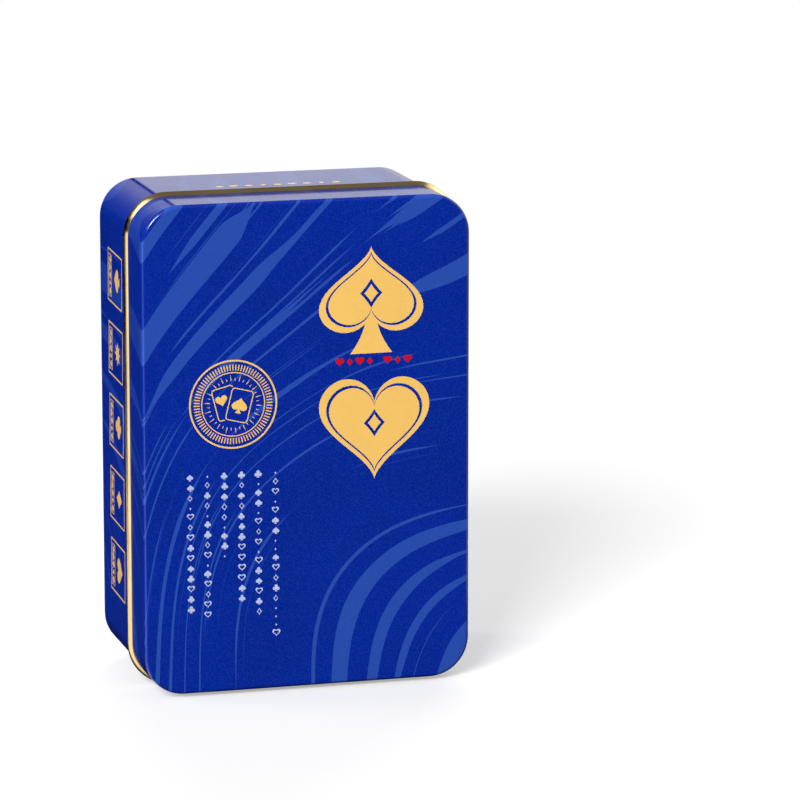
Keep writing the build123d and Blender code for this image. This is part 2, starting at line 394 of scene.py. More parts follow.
def stem(top, waist, foot, steps=8):
    """Flared stem of a spade or club, down to its foot half a unit below the middle."""
    right = [(waist + (foot - waist) * (step / steps) ** 2.4, top - (top + 0.5) * step / steps)
             for step in range(steps + 1)]
    return right + [(-x, y) for x, y in reversed(right)]


def spade():
    """Spade, one unit high."""
    blade = [(x * 0.9, 0.1 - y * 0.8) for x, y in heart()[0]]
    return [blade, stem(0.0, 0.035, 0.2)]


def club():
    """Club, one unit high."""
    lobes = [circle(centre, 0.238) for centre in ((0, 0.262), (-0.262, -0.085), (0.262, -0.085))]
    return lobes + [circle((0, 0.04), 0.15), stem(0.05, 0.04, 0.2)]


def diamond(steps=8, hollow=0.07):
    """Diamond with slightly hollow sides, one unit high."""
    tips = [(0, 0.5), (-0.39, 0), (0, -0.5), (0.39, 0)]
    loop = []
    for (x, y), (next_x, next_y) in zip(tips, tips[1:] + tips[:1]):
        for step in range(steps):
            t = step / steps
            pull = 1 - hollow * 4 * t * (1 - t)
            loop.append(((x + (next_x - x) * t) * pull, (y + (next_y - y) * t) * pull))
    return [loop]


def star(points=8, inner=0.5):
    """Star, one unit high."""
    loop = []
    for index in range(2 * points):
        radius = 0.5 if index % 2 == 0 else 0.5 * inner
        angle = math.pi / 2 + math.pi * index / points
        loop.append((radius * math.cos(angle), radius * math.sin(angle)))
    return [loop]


SUITS = (spade, heart, club, diamond)
STROKE = 0.128               # stroke of the board's figures, as a share of their height


def suit_row(count, pitch, height, level=0.0, suits=SUITS, gap_after=0, gap=0.0):
    """Row of suits in turn, centred, with a wider gap after one of them where a gap is given."""
    places = [pitch * index + (gap if index > gap_after else 0) for index in range(count)]
    middle = (places[0] + places[-1]) / 2
    loops = []
    for index, place in enumerate(places):
        loops += moved(suits[index % len(suits)](), (place - middle, level), height)
    return loops


def figure_paths(sign):
    """Centre lines of a figure one unit high, and its width."""
    low, high = STROKE / 2, 1 - STROKE / 2
    five, six, nine = (0.26, 0.283 + low), (0.30, 0.27 + low), (0.30, high - 0.27)
    upper_eight, lower_eight = (0.28, high - 0.203), (0.28, 0.246 + low)
    paths = {
        "1": ([[(0.0, 0.80), (0.20, high), (0.20, 0.0)]], 0.27),
        "2": ([arc((0.30, 0.665), high - 0.665, 172, -40, 24) + [(0.07, low), (0.60, low)]], 0.60),
        "3": ([arc((0.27, 0.712), high - 0.712, 150, -90, 20),
               arc((0.27, 0.276 + low), 0.276, 90, -150, 22)], 0.55),
        "4": ([[(0.62, 0.27), (0.05, 0.27), (0.45, 0.97), (0.45, 0.0)]], 0.62),
        "5": ([[(0.53, high), (0.17, high), (0.10, 0.55)] + arc(five, 0.283, 112, -148, 24)], 0.55),
        "6": ([arc(six, 0.27, 0, 345, 40) + arc(six, 0.27, 345, 360, 2)[1:],
               [(0.075, six[1] + 0.14), (0.42, 1.0)]], 0.60),
        "7": ([[(0.0, high), (0.54, high), (0.16, 0.0)]], 0.56),
        "8": ([circle(upper_eight, 0.203, 36) + [(0.483, upper_eight[1])],
               circle(lower_eight, 0.246, 40) + [(0.526, lower_eight[1])]], 0.56),
        "9": ([arc(nine, 0.27, 0, 360, 42), [(0.525, nine[1] - 0.14), (0.18, 0.0)]], 0.60),
        "0": ([oval((0.26, 0.5), (0.225, 0.5 - low), 0, 360, 40)], 0.52),
        "J": ([[(0.40, 1.0), (0.40, 0.215 + low)] + arc((0.20, 0.20 + low), 0.20, 0, -150, 16)], 0.46),
        "Q": ([arc((0.46, 0.5), 0.5 - low, 0, 360, 56), [(0.52, 0.30), (0.86, 0.0)]], 0.92),
        "K": ([[(low, 0.0), (low, 1.0)], [(0.58, 1.0), (0.10, 0.42)], [(0.24, 0.58), (0.62, 0.0)]], 0.64),
        "A": ([[(0.045, 0.0), (0.39, 0.93), (0.735, 0.0)], [(0.16, 0.27), (0.62, 0.27)]], 0.78),
    }
    return paths[sign]


def figure(text, raised=""):
    """Quads of a line of figures one unit high, centred, with a small raised figure after it."""
    space, small, small_stroke = 0.13, 0.36, STROKE * 0.85
    raised_by, raised_to = 0.02, 0.72
    loops, reach = [], 0.0
    for sign in text:
        paths, width = figure_paths(sign)
        for path in paths:
            loops += moved(stroke(path, STROKE), (reach, 0))
        reach += width + space
    reach -= space
    if raised:
        paths, width = figure_paths(raised)
        for path in paths:
            loops += moved(stroke(path, small_stroke), (reach + raised_by, raised_to), small)
        reach += width * small
    return moved(loops, (-reach / 2, -0.5))


# --- materials ---

def srgb(red, green, blue):
    """Linear colour of an 8-bit display colour."""
    def linear(value):
        value /= 255
        return value / 12.92 if value <= 0.04045 else ((value + 0.055) / 1.055) ** 2.4
    return (linear(red), linear(green), linear(blue), 1.0)


def shade(colour, factor):
    """Colour made darker or lighter."""
    return tuple(min(1.0, part * factor) for part in colour[:3]) + (1.0,)


def arithmetic(operation):
    """Method of a wire that adds a node of this operation."""
    return lambda wire, other=0.0: wire.nodes.math(operation, wire, other)


class Wire:
    """Output of a node; arithmetic on it adds nodes."""

    __add__ = arithmetic("ADD")
    __sub__ = arithmetic("SUBTRACT")
    __mul__ = arithmetic("MULTIPLY")
    __abs__ = arithmetic("ABSOLUTE")
    least = arithmetic("MINIMUM")
    most = arithmetic("MAXIMUM")

    def __init__(self, nodes, socket):
        self.nodes = nodes
        self.socket = socket

    def __rsub__(self, other):
        return self.nodes.math("SUBTRACT", other, self)

    def between(self, low, high, to_low=0.0, to_high=1.0):
        """Map a range smoothly to another."""
        limits = {"From Min": low, "From Max": high, "To Min": to_low, "To Max": to_high}
        return self.nodes.add("MapRange", {"Value": self, **limits}, interpolation_type="SMOOTHSTEP")

    def window(self, start, full, last, end):
        """1 from full to last, falling to 0 at start and at end."""
        return self.between(start, full) * self.between(last, end, 1.0, 0.0)


class Nodes:
    """Short way to write the nodes of a material or of the world."""

    def __init__(self, owner, shader="BsdfPrincipled", end="OutputMaterial"):
        owner.use_nodes = True
        self.owner = owner
        self.tree = owner.node_tree
        self.tree.nodes.clear()
        self.shader = self.tree.nodes.new("ShaderNode" + shader)
        last = self.tree.nodes.new("ShaderNode" + end)
        self.tree.links.new(self.shader.outputs[0], last.inputs["Surface"])

    def put(self, socket, value):
        """Link a socket, or set its value."""
        if isinstance(value, Wire):
            self.tree.links.new(value.socket, socket)
        else:
            socket.default_value = value

    def set(self, **values):
        """Set inputs of the surface shader; an underscore stands for a space."""
        for name, value in values.items():
            self.put(self.shader.inputs[name.replace("_", " ")], value)

    def add(self, kind, inputs=None, output=0, **settings):
        """Add a node and give one of its outputs."""
        node = self.tree.nodes.new("ShaderNode" + kind)
        for key, value in settings.items():
            setattr(node, key, value)
        for key, value in (inputs or {}).items():
            self.put(node.inputs[key], value)
        return Wire(self, node.outputs[output])

    def math(self, operation, first, second=0.0):
        """Arithmetic on numbers."""
        return self.add("Math", {0: first, 1: second}, operation=operation)

    def vector(self, operation, first, second=(0, 0, 0), output=0):
        """Arithmetic on vectors."""
        return self.add("VectorMath", {0: first, 1: second}, output=output, operation=operation)

    def place(self):
        """Position on the piece, in millimetres."""
        return self.vector("MULTIPLY", self.add("TexCoord", output="Object"), (1 / MM, 1 / MM, 1 / MM))

    def parts(self, vector):
        """The three parts of a vector."""
        return [self.add("SeparateXYZ", {0: vector}, output=axis) for axis in "XYZ"]

    def noise(self, place, size, detail=2.0, rough=0.5, stretch=(1.0, 1.0, 1.0), output=0):
        """Noise with features of about this size in millimetres, larger where the stretch is under 1."""
        if stretch != (1.0, 1.0, 1.0):
            place = self.vector("MULTIPLY", place, stretch)
        inputs = {"Vector": place, "Scale": 1 / size, "Detail": detail, "Roughness": rough}
        return self.add("TexNoise", inputs, output=output)

    def mix(self, share, first, second):
        """Mix two colours; they are inputs 6 and 7 of the node, and their mix is output 2."""
        return self.add("Mix", {0: share, 6: first, 7: second}, output=2, data_type="RGBA")

    def bump(self, height, distance, strength=1.0):
        """Bump of a height in millimetres."""
        return self.add("Bump", {"Height": height, "Distance": distance * MM, "Strength": strength})


def largest(values):
    """The largest of several values of nodes."""
    result = values[0]
    for value in values[1:]:
        result = result.most(value)
    return result


def new_material(name):
    """Nodes of a new material, and the position on the piece."""
    nodes = Nodes(bpy.data.materials.new(name))
    return nodes, nodes.place()


def ribbon_mask(nodes, place):
    """Mask of long flowing ribbons: a few broad ones, more slim ones and bundles of fine lines."""
    size, strength = ribbon_bend
    field = nodes.vector("ADD", nodes.vector("MULTIPLY", place, ribbon_stretch), ribbon_field)
    drift = nodes.vector("SUBTRACT", nodes.noise(field, size, detail=0.0, output="Color"), (0.5, 0.5, 0.5))
    drift = nodes.vector("MULTIPLY", drift, (strength, strength / 2, strength))
    across = nodes.vector("DOT_PRODUCT", nodes.vector("ADD", place, drift), ribbon_across, output="Value")
    lines = []
    for pitch, shift, thick, absent, swell_size in ribbon_families:
        blur = ribbon_edge / pitch
        turns = across * (1 / pitch) + shift
        off = abs(nodes.math("FRACT", turns) - 0.5)
        own = nodes.add("TexWhiteNoise", {"W": nodes.math("FLOOR", turns)}, noise_dimensions="1D")
        wave = nodes.noise(nodes.vector("ADD", place, (shift * swell_apart, 0, 0)), swell_size, detail=0.0)
        half = own.between(absent, 1.0) * wave.between(*ribbon_swell) * thick - blur
        lines.append((half - off).between(-blur, blur))
    return largest(lines)


def varnish(nodes, place):
    """Gloss varnish over print on tinplate, with faint orange peel and handling haze."""
    peel = nodes.noise(place, 1.8)
    haze = nodes.noise(place, 16.0, detail=4.0, rough=0.6)
    nodes.set(Roughness=haze.between(0.3, 0.75, 0.10, 0.15), IOR=1.5, Normal=nodes.bump(peel, 0.002, 0.5))


def blue_print(name, base, ribbon=None):
    """Royal blue print, with flowing ribbons in a lighter blue where one is given."""
    nodes, place = new_material(name)
    cloud = nodes.noise(place, 30.0)
    grain = nodes.noise(place, 0.26, detail=1.0)
    colour = nodes.mix(cloud.between(0.3, 0.7), shade(base, 0.9), base)
    if ribbon:
        behind = nodes.parts(place)[1] - front_y
        on_side = behind.between(0.5, 3.0, 0.0, ribbon_fading)
        colour = nodes.mix(ribbon_mask(nodes, place), colour, nodes.mix(on_side, ribbon, base))
    nodes.set(Base_Color=nodes.mix(grain.between(0.42, 0.66, 0.0, grain_share), colour, blue_grain))
    varnish(nodes, place)
    return nodes.owner


def gold_lacquer(name, rough):
    """Gold lacquered tinplate: metal with rolling lines and faint stains."""
    tint = (0.86, 0.64, 0.30, 1.0)
    nodes, place = new_material(name)
    rolling = nodes.noise(place, 1.2, detail=3.0, stretch=(3.0, 3.0, 0.12))
    stain = nodes.noise(place, 9.0, detail=4.0)
    nodes.set(Base_Color=nodes.mix(stain.between(0.35, 0.7), shade(tint, 0.82), tint), Metallic=1.0,
              Roughness=rolling.between(0.3, 0.7, *rough), Normal=nodes.bump(rolling, 0.001, 0.2))
    return nodes.owner


def ink_print(name, colour, darkest=0.86):
    """Printed ink, slightly uneven, under the tin's varnish."""
    nodes, place = new_material(name)
    both = nodes.noise(place, 0.2) * 0.6 + nodes.noise(place, 6.0, detail=3.0) * 0.4
    nodes.set(Base_Color=nodes.mix(both.between(0.35, 0.65), shade(colour, darkest), colour))
    varnish(nodes, place)
    return nodes.owner


def moulded_plastic(name, colour, deep):
    """Glossy moulded plastic with faint flow marks."""
    nodes, place = new_material(name)
    flow = nodes.noise(place, 4.0, detail=3.0, stretch=(1.0, 0.35, 1.0))
    dimple = nodes.noise(place, 0.9)
    nodes.set(Base_Color=nodes.mix(flow.between(0.3, 0.7), deep, colour),
              Roughness=dimple.between(0.3, 0.7, 0.13, 0.20),
              Subsurface_Weight=0.1, Subsurface_Radius=(0.002, 0.0006, 0.0005), Subsurface_Scale=0.4,
              Coat_Weight=0.3, Coat_Roughness=0.05, Normal=nodes.bump(dimple, 0.005, 0.4))
    return nodes.owner


def drawn_metal(name, tint):
    """Bright drawn wire or plated disc, with fine lines along it."""
    nodes, place = new_material(name)
    lines = nodes.noise(place, 0.8, detail=4.0, stretch=(6.0, 6.0, 0.2))
    nodes.set(Base_Color=nodes.mix(lines, shade(tint, 0.75), tint), Metallic=1.0,
              Roughness=lines.between(0.3, 0.7, 0.18, 0.34), Normal=nodes.bump(lines, 0.004, 0.5))
    return nodes.owner


def fibre_stock(name, fibres, share, cloud_size, dark, light, rough, depth):
    """Cut card or paper: fibres over a slow change of tone."""
    nodes, place = new_material(name)
    fibre = nodes.noise(place, 0.5, **fibres)
    tone = fibre * share + nodes.noise(place, cloud_size) * (1 - share)
    nodes.set(Base_Color=nodes.mix(tone.between(0.3, 0.7), dark, light),
              Roughness=rough, Normal=nodes.bump(fibre, depth, 0.5))
    return nodes.owner


def card_back(name, middle, half_width, half_length):
    """Card back: white margin round a common lattice of diamonds, with a linen finish."""
    margin, rule, cell, thread = 3.6, 0.45, 1.15, 0.22
    white, blue = srgb(232, 232, 236), srgb(22, 54, 152)
    nodes, place = new_material(name)
    x, _, z = nodes.parts(place)
    z = z - middle
    falling, rising = nodes.math("PINGPONG", x + z, cell), nodes.math("PINGPONG", x - z, cell)
    edge = (abs(x) - (half_width - margin)).most(abs(z) - (half_length - margin))
    line = abs(edge + 2 * rule).between(rule / 2, rule / 2 + 0.08)
    lattice = nodes.mix(falling.least(rising).between(0.20, 0.28), white, blue)
    printed = nodes.mix(line, white, lattice)
    linen = nodes.math("PINGPONG", x, thread) + nodes.math("PINGPONG", z, thread)
    nodes.set(Base_Color=nodes.mix(edge.between(-0.04, 0.04), printed, srgb(238, 236, 230)),
              Roughness=0.36, Normal=nodes.bump(linen, 0.02, 0.4))
    return nodes.owner


blue_base, blue_ribbon, blue_grain = srgb(2, 39, 150), srgb(41, 77, 172), srgb(74, 100, 226)
lid_print = blue_print("lid_print", blue_base, blue_ribbon)
wall_print = blue_print("wall_print", blue_base, blue_ribbon)
board_print = blue_print("board_print", srgb(0, 38, 148))
lacquer = gold_lacquer("lacquer", (0.12, 0.22))
strap_lacquer = gold_lacquer("strap_lacquer", (0.18, 0.30))
red_plastic = moulded_plastic("red_plastic", srgb(255, 38, 36), srgb(240, 20, 24))
blue_plastic = moulded_plastic("blue_plastic", srgb(28, 98, 186), srgb(18, 80, 164))
wire_steel = drawn_metal("wire_steel", (0.72, 0.71, 0.69, 1.0))
nickel = drawn_metal("nickel", (0.80, 0.79, 0.76, 1.0))
edge_stock = fibre_stock("edge_stock", {"detail": 4.0, "stretch": (1.0, 4.0, 1.0)}, 0.6, 7.0,
                         srgb(206, 202, 192), srgb(240, 238, 231), 0.6, 0.01)
paper = fibre_stock("paper", {"detail": 5.0, "rough": 0.7}, 0.5, 12.0,
                    srgb(234, 231, 222), srgb(244, 242, 235), 0.75, 0.02)
inks = {     # material and slot of each printed colour
    "gold": (ink_print("gold_ink", srgb(255, 205, 110), darkest=0.92), "gold_print"),
    "red": (ink_print("red_ink", srgb(206, 24, 46)), "red_print"),
    "white": (ink_print("white_ink", srgb(194, 204, 238)), "white_print"),
    "label": (ink_print("label_ink", srgb(238, 238, 240), darkest=0.95), "white_print"),
    "blue": (ink_print("blue_ink", srgb(24, 52, 150)), "leaflet_paper"),
}


def refinish(material, *names):
    """Give nodes of the construction their final material."""
    for name in names:
        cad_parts[name].data.materials.clear()
        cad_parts[name].data.materials.append(material)


def turned_left(loop):
    """The loop, running counter-clockwise."""
    area = sum(a[0] * b[1] - b[0] * a[1] for a, b in zip(loop, list(loop[1:]) + [loop[0]]))
    return loop if area > 0 else loop[::-1]


def print_shape(name, plane, solids, holes=(), ink="gold"):
    """Printed layer on a plane: the union of the solid loops less the holes.

    The plane is the body it rides on, its middle, the way right, the way up and the way out.
    """
    material, slot = inks[ink]
    body, *vectors = plane
    origin, right, up, out = [Vector(part) for part in vectors]
    points, loops = [], []
    for loop in list(solids) + list(holes):
        loops.append(list(range(len(points), len(points) + len(loop))))
        points += [Vector(point) for point in turned_left(loop)]
    flat, _, triangles, _, _, sources = delaunay_2d_cdt(points, [], loops, 1, 1e-5)
    top = []
    for (a, b, c), source in zip(triangles, sources):
        if source and max(source) < len(solids):
            area = (flat[b] - flat[a]).cross(flat[c] - flat[a])
            top.append((a, b, c) if area > 0 else (a, c, b))
    below = len(flat)
    edges = {(tri[side], tri[(side + 1) % 3]) for tri in top for side in range(3)}
    faces = top + [tuple(index + below for index in reversed(tri)) for tri in top]
    faces += [(end, start, start + below, end + below) for start, end in sorted(edges)
              if (end, start) not in edges]
    spots = [origin + right * p.x + up * p.y + out * height for height in (ink_height, 0) for p in flat]
    used = sorted({index for face in faces for index in face})
    order = {index: place for place, index in enumerate(used)}
    piece = make_mesh(name, [spots[index] for index in used],
                      [tuple(order[index] for index in face) for face in faces], [material])
    return settle(piece, body, slot)


def print_frame(name, plane, size, line, radii, spot=(0, 0), turn=0.0, covered=(), steps=8, ink="gold"):
    """Printed frame, its line with one width on the upright sides and one on the level sides."""
    outer = rounded_frame(*size, radii[0], steps)
    inner = rounded_frame(size[0] - 2 * line[0], size[1] - 2 * line[1], radii[1], steps)
    holes = moved([inner], spot, turn=turn) + list(covered)
    print_shape(name, plane, moved([outer], spot, turn=turn), holes, ink)


# --- tin ---

PRINT, GOLD = 0, 1


def bent_on(start, radius, angle, end_angle, steps):
    """Arc of a section that goes on from a point; angles give the way it faces, from front to outside."""
    a = math.radians(angle)
    centre = (start[0] + radius * math.sin(a), start[1] + radius * math.cos(a))
    return arc(centre, radius, 270 - angle, 270 - end_angle, steps)


def roll_sides():
    """Hollow and outside of the rolled edge, from skirt to mouth and from mouth to skirt."""
    gap, reach = roll_mouth
    radius, angle, end_angle = roll_flank
    flank = bent_on((-gap, skirt_depth - reach), radius, angle, end_angle, 6)
    knee = bent_on(flank[-1], roll_knee, end_angle, 90, 5)[1:]
    widest, level = knee[-1]
    half = (sheet - widest) / 2
    rear = oval((sheet - half, level), (half, hinge_y - front_y + roll_radius - level), 180, 0, 18)[1:]
    bore = oval((-roll_bore, level), (roll_bore, roll_bore), 0, 180, 14)
    near_knee = (flank[-2][0] + knee_inset, flank[-2][1] - knee_inset)
    near_mouth = (-2 * gap, skirt_depth - reach + gap)
    bore += [(x, y + roll_thickness) for x, y in (near_knee, near_mouth)]
    return bore, flank + knee + rear


def make_lid():
    """Lid: flat face, skirt and an edge rolled outwards, notched at the two straps."""
    face, radius = ink_height, lid_edge_radius
    bend = rounded_path([(flat_margin, face, 0), (0.0, face, radius), (0.0, skirt_depth, 0)], 8)
    bore, roll = roll_sides()
    inner = rounded_path([(sheet, skirt_depth, 0), (sheet, face + sheet, radius - sheet),
                          (flat_margin, face + sheet, 0)], 6)
    piece = sweep_round("lid", [(bend + bore, PRINT), (roll + inner, GOLD)], [lid_print, lacquer], True)
    depth = roll_radius + notch_gap
    size = (4 * roll_radius, depth + 2 * roll_radius, strap_width + 2 * strap_side_gap)
    cut_boxes(piece, [((hinge_x, hinge_y + roll_radius - depth / 2, place), size) for place in strap_places])
    weigh_normals(piece)
    return settle(piece, "lid", "lid_tinplate", "lid_shell")


def wall_section(step_end):
    """Section of the body wall: gold hem and neck, printed outside and rim, gold inside."""
    hem_end = [(neck_inset + 2 * sheet, rim_depth + hem_depth)]
    fold = arc((neck_inset + sheet, rim_depth + sheet), sheet, 0, -180, 10)
    outside = rounded_path([(neck_inset, step_start - neck_run, 0),
                            (neck_inset, step_start, step_rounding),
                            (wall_inset, step_end, step_rounding),
                            (wall_inset, tin_depth - rim_radius, 0)], 5)
    rim_inset, rim_centre = wall_inset + rim_radius, tin_depth - rim_radius
    rim = [(2 * rim_inset - x, y) for x, y in arc((rim_inset, rim_centre), rim_radius, 0, 180, 16)][1:]
    rim_inner = [(2 * rim_inset - x, y) for x, y in
                 arc((rim_inset, rim_centre), rim_radius - sheet, 180, 0, 10)]
    leg = [(rim_inset + rim_radius - inwards, board_face_depth) for inwards in (0, sheet)]
    inside = rounded_path([(wall_inset + sheet, rim_centre, 0),
                           (wall_inset + sheet, step_end + sheet, step_rounding),
                           (neck_inset + sheet, step_start + sheet, step_rounding),
                           (neck_inset + sheet, rim_depth + hem_depth, 0)], 5)[1:]
    return [(hem_end + fold + outside[:1], GOLD), (outside[1:] + rim + leg, PRINT),
            (rim_inner + inside, GOLD)]


def make_wall():
    """Body wall: hemmed neck, step, wall and the rear rim rolled in, in one sheet."""
    step_end = step_start + step_depth
    piece = sweep_round("wall", wall_section(step_end), [wall_print, lacquer], False)
    slots = [((tin_width / 2 - neck_inset - sheet / 2, hinge_y, place), (4 * sheet, *strap_slot))
             for place in strap_places]
    start, end = step_end + sheet, board_face_depth - rim_radius
    groove = ((tin_width / 2 - wall_inset, front_y + (start + end) / 2, middle_z + seam_width / 2),
              (2 * groove_depth, end - start, groove_width))
    cut_boxes(piece, slots + [groove])
    weigh_normals(piece)
    return settle(piece, "tin", "wall_tinplate", "body_wall")


def make_seam():
    """Lock seam of the wall, folded flat on the hinge side inside."""
    start = step_start + step_depth + sheet
    end = board_face_depth - sheet - board_flange
    inner = tin_width / 2 - wall_inset - 3 * sheet
    outer = tin_width / 2 - wall_inset - sheet
    section = rounded_path([(outer, -seam_width / 2, 0), (inner, -seam_width / 2, sheet),
                            (inner, seam_width / 2, sheet), (outer, seam_width / 2, 0)], 4)
    points = [(x, front_y + depth, middle_z + z) for depth in (start, end) for x, z in section]
    count = len(section)
    faces = tube_faces(count) + [list(range(count))[::-1], list(range(count, 2 * count))]
    return settle(make_mesh("wall_seam", points, faces, [lacquer]), "tin", "gold_lacquer")


def make_board():
    """Rear plate: flange along the wall and a soft bend up to the rim."""
    face, rise = board_face_depth, recess_fillet
    rim_inner = wall_inset + 2 * rim_radius
    soft = arc((rim_inner + rise, face + rise), rise, 180, 270, 8)
    front = [(flat_margin, face)] + soft[::-1] + [(rim_inner + hairline, face)]
    outside = rounded_path([(rim_inner, face, 0), (board_inset, face, board_edge_radius),
                            (board_inset, face - board_flange, 0)], 5)[1:]
    inside = rounded_path([(board_inset + sheet, face - board_flange, 0),
                           (board_inset + sheet, face - sheet, board_edge_radius - sheet),
                           (flat_margin, face - sheet, 0)], 5)
    piece = sweep_round("board", [(front + outside, PRINT), (inside, GOLD)], [board_print, lacquer], True)
    weigh_normals(piece)
    return settle(piece, "tin", "board_tinplate", "board_plate")


make_lid()
make_wall()
make_seam()
make_board()
refinish(strap_lacquer, *strap_nodes)
refinish(wire_steel, "hinge_wire")


# --- print on the lid face ---

def face_plane(x, z):
    """Plane on the lid face; x and z count from the middle of the face."""
    return ("lid", (x, front_y + ink_height, middle_z + z), (1, 0, 0), (0, 0, 1), (0, -1, 0))


def large_suit(name, middle, height, body, foot=()):
    """Large gold suit: a rim, a fine gap and a body with a small diamond let into it."""
    gap_share, body_share = 0.87, 0.82
    jewel_level, jewel_share, hole_share = 0.06, 0.17, 0.27
    level = (max(y for _, y in body) + min(y for _, y in body)) / 2

    def drawn_in(share):
        """Body drawn in towards its own middle."""
        return moved([[(x * share, level + (y - level) * share) for x, y in body]], scale=height)

    def jewel(share):
        """Diamond a little above the middle."""
        return moved(diamond(), (0, jewel_level * height), share * height)

    plane = face_plane(*middle)
    print_shape(name + "_rim", plane, moved([body, *foot], scale=height), drawn_in(gap_share))
    print_shape(name, plane, drawn_in(body_share), jewel(hole_share))
    print_shape(name + "_jewel", plane, jewel(jewel_share))


def medallion(middle):
    """Round badge: rings, radial rays and ticks, and two crossed cards."""
    plane = face_plane(*middle)
    tick_count, ray_count = 80, 36
    front_spot, back_spot, lean = (1.3, -0.3), (-1.5, 0.3), 14
    card = ((4.6, 6.6), (0.2, 0.2), (0.7, 0.5))      # its size, line and corner radii

    def ring(name, outer, inner):
        """Ring between two radii."""
        print_shape(name, plane, [circle((0, 0), outer, 96)], [circle((0, 0), inner, 96)])

    ring("badge_ring", 8.9, 8.55)
    rays = []
    for ray in range(ray_count):
        end = 5.9 if ray % 2 else 5.3
        taper = [(4.75, -0.10), (end, -0.02), (end, 0.02), (4.75, 0.10)]
        rays += moved([taper], turn=360 / ray_count * (ray + 0.5))
    print_shape("badge_rays", plane, rays)
    ticks = []
    for tick in range(tick_count):
        ticks += moved([rectangle(6.75, 7.95, -0.11, 0.11)], turn=360 / tick_count * tick)
    print_shape("badge_ticks", plane, ticks)
    ring("badge_inner_ring", 6.45, 6.25)
    round_front = moved([rounded_frame(5.1, 7.1, 0.8)], front_spot, turn=-lean)
    print_frame("badge_back_card", plane, *card, back_spot, lean, round_front)
    print_shape("badge_back_suit", plane, moved(heart(), (-2.3, 0.7), 2.2, lean), round_front)
    print_frame("badge_front_card", plane, *card, front_spot, -lean)
    print_shape("badge_front_suit", plane, moved(spade(), front_spot, 3.2, -lean))


def pip_columns(places, top, lengths, pitch, height):
    """Columns of small suits of uneven length, some of them in outline, with a smaller one here and there."""
    small_share, small_size, small_pitch = 0.14, 0.35, 0.8
    least_size, sway, outline = 0.86, 0.06, 0.62
    solids, holes = [], []
    for x, length in zip(places, lengths):
        drop = 0.0
        while drop + height < length:
            small = random.random() < small_share
            size = height * (small_size if small else random.uniform(least_size, 1.0))
            suit = diamond if small else random.choice(SUITS)
            spot = (x + random.uniform(-sway, sway), top - drop - height / 2)
            solids += moved(suit(), spot, size)
            if not small and suit in (heart, diamond):
                holes += moved(suit(), spot, size * outline)
            drop += pitch * (small_pitch if small else 1.0)
    return solids, holes


blade, foot = spade()
large_suit("large_spade", (13.0, 28.6), 21.5, blade, [foot])
large_suit("large_heart", (13.6, 2.6), 20.5, heart(96)[0])
medallion((-15.1, 9.1))
red_row = suit_row(7, 2.05, 1.65, suits=(heart, diamond), gap_after=3, gap=1.6)
print_shape("red_pips", face_plane(13.5, 16.3), red_row, ink="red")
column_places = [-23.9 + 3.45 * column for column in range(6)]
column_lengths = (28.6, 30.3, 17.8, 26.8, 30.3, 35.7)
pips, pip_openings = pip_columns(column_places, -4.4, column_lengths, 2.08, 1.5)
print_shape("white_pips", face_plane(0, 0), pips, pip_openings, "white")


# --- print on the walls ---

def left_plane(depth, z, lean):
    """Plane on the wall's -X side, leaning by degrees towards the front."""
    c, s = math.cos(math.radians(lean)), math.sin(math.radians(lean))
    spot = (-tin_width / 2 + wall_inset, front_y + depth, middle_z + z)
    return ("tin", spot, (0, -c, -s), (0, -s, c), (-1, 0, 0))


def end_plane(side, depth):
    """Plane on the wall's upper end (side 1) or lower end (side -1)."""
    spot = (0.0, front_y + depth, middle_z + side * (tin_length / 2 - wall_inset))
    return ("tin", spot, (1, 0, 0), (0, side, 0), (0, 0, side))


def side_frame(name, middle, motif):
    """Gold frame with a motif and a small panel of marks."""
    panel_spot, mark_pitch, mark_height = (-4.3, 0), 1.6, 1.5
    plane = left_plane(25.8, middle, 2.3)
    print_frame(name, plane, (12.7, 10.8), (0.18, 0.32), (0.2, 0.1), steps=2)
    print_shape(name + "_motif", plane, moved(motif, (1.7, 0), 4.7, 90))
    print_frame(name + "_panel", plane, (2.6, 8.6), (0.15, 0.15), (0.1, 0.1), panel_spot, steps=2)
    marks = []
    for index in range(5):
        marks += moved(SUITS[index % 4](), (panel_spot[0], mark_pitch * (2 - index)), mark_height, 90)
    print_shape(name + "_marks", plane, marks)


for index, motif in enumerate((spade(), star(), club(), diamond(), heart())):
    side_frame(f"side_frame_{index + 1}", 30.45 - 14.88 * index, motif)

print_shape("upper_pips", end_plane(1, 22.9), suit_row(9, 3.0, 1.7))
print_shape("lower_pips", end_plane(-1, 35.2), suit_row(13, 2.4, 1.5))
label_holes = suit_row(4, 7.0, 5.0, 0.6) + [rectangle(-14.0, 14.0, -4.1, -3.8)]
print_shape("lower_label", end_plane(-1, 23.5), [rounded_frame(34.0, 12.0, 0.8)], label_holes, "label")


# --- board ---

def board_plane(column, row):
    """Plane on the board at a grid place, reading upwards along the tin."""
    across = (tin_width - 2 * board_margins[0]) / grid_columns
    along = (tin_length - 2 * board_margins[1]) / grid_rows
    spot = (column * across, front_y + board_face_depth, middle_z + row * along)
    return ("tin", spot, (0, 0, 1), (1, 0, 0), (0, 1, 0))


ranks = {1: ("2", "3", "4", "5", "6"), 0: ("7", "8", "9", "10", "J"), -1: ("Q", "K", "A1", "A2", "A3")}
for column, signs in ranks.items():
    for row, sign in enumerate(signs):
        plane = board_plane(column, row - 2)
        print_frame(f"cell_{sign}", plane, (15.7, 14.75), (0.5, 0.5), (1.9, 1.4))
        text, raised = (sign[0], sign[1]) if sign[0] == "A" else (sign, "")
        print_shape(f"figure_{sign}", plane, moved(figure(text, raised), scale=9.75))


# --- pawns ---

